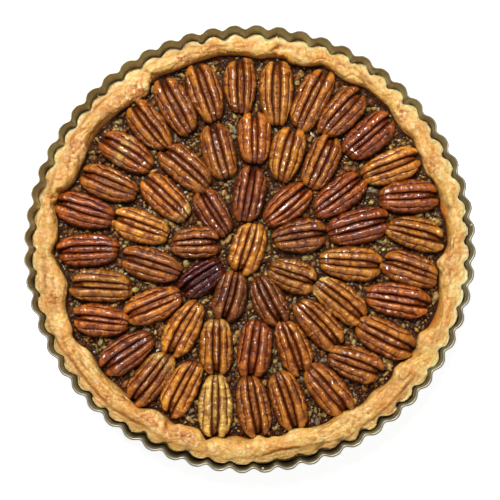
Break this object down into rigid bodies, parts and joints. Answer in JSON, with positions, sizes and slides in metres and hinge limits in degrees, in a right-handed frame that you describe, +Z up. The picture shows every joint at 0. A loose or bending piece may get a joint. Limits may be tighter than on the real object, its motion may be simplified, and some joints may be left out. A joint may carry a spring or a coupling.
{
  "type": "pecan pie",
  "caption": "Round pecan pie in a fluted metal tart tin, with a browned pastry rim, a dark glazed nut filling and rings of pecan halves laid on top.",
  "frame": {"origin": "centre of the flat underside of the tin, on the surface it rests on", "axes": "+Z up through the middle of the pie, +X to the right and +Y away from the viewer as it is served"},
  "size_m": [0.2422, 0.2422, 0.03],
  "materials": {
    "tin_metal": "dark olive-brown coated steel with a soft metallic sheen, and a lighter worn line on the rim",
    "pastry": "baked shortcrust, pale gold to light brown, dry and slightly flaky",
    "glazed_filling": "dark brown syrup filling with chopped nuts, sticky and glossy",
    "pecan": "glazed pecan halves, warm brown with darker grooves and small bright highlights"
  },
  "bodies": {
    "root": {"tin": "tin_metal", "crust": "pastry", "filling": "glazed_filling", "pecan_01": "pecan", "pecan_02": "pecan", "pecan_03": "pecan", "pecan_04": "pecan", "pecan_05": "pecan", "pecan_06": "pecan", "pecan_07": "pecan", "pecan_08": "pecan", "pecan_09": "pecan", "pecan_10": "pecan", "pecan_11": "pecan", "pecan_12": "pecan", "pecan_13": "pecan", "pecan_14": "pecan", "pecan_15": "pecan", "pecan_16": "pecan", "pecan_17": "pecan", "pecan_18": "pecan", "pecan_19": "pecan", "pecan_20": "pecan", "pecan_21": "pecan", "pecan_22": "pecan", "pecan_23": "pecan", "pecan_24": "pecan", "pecan_25": "pecan", "pecan_26": "pecan", "pecan_27": "pecan", "pecan_28": "pecan", "pecan_29": "pecan", "pecan_30": "pecan", "pecan_31": "pecan", "pecan_32": "pecan", "pecan_33": "pecan", "pecan_34": "pecan", "pecan_35": "pecan", "pecan_36": "pecan", "pecan_37": "pecan", "pecan_38": "pecan", "pecan_39": "pecan", "pecan_40": "pecan", "pecan_41": "pecan", "pecan_42": "pecan", "pecan_43": "pecan", "pecan_44": "pecan", "pecan_45": "pecan", "pecan_46": "pecan", "pecan_47": "pecan", "pecan_48": "pecan", "pecan_49": "pecan", "pecan_50": "pecan", "pecan_51": "pecan", "pecan_52": "pecan", "pecan_53": "pecan", "pecan_54": "pecan", "pecan_55": "pecan", "pecan_56": "pecan"}
  },
  "joints": []
}
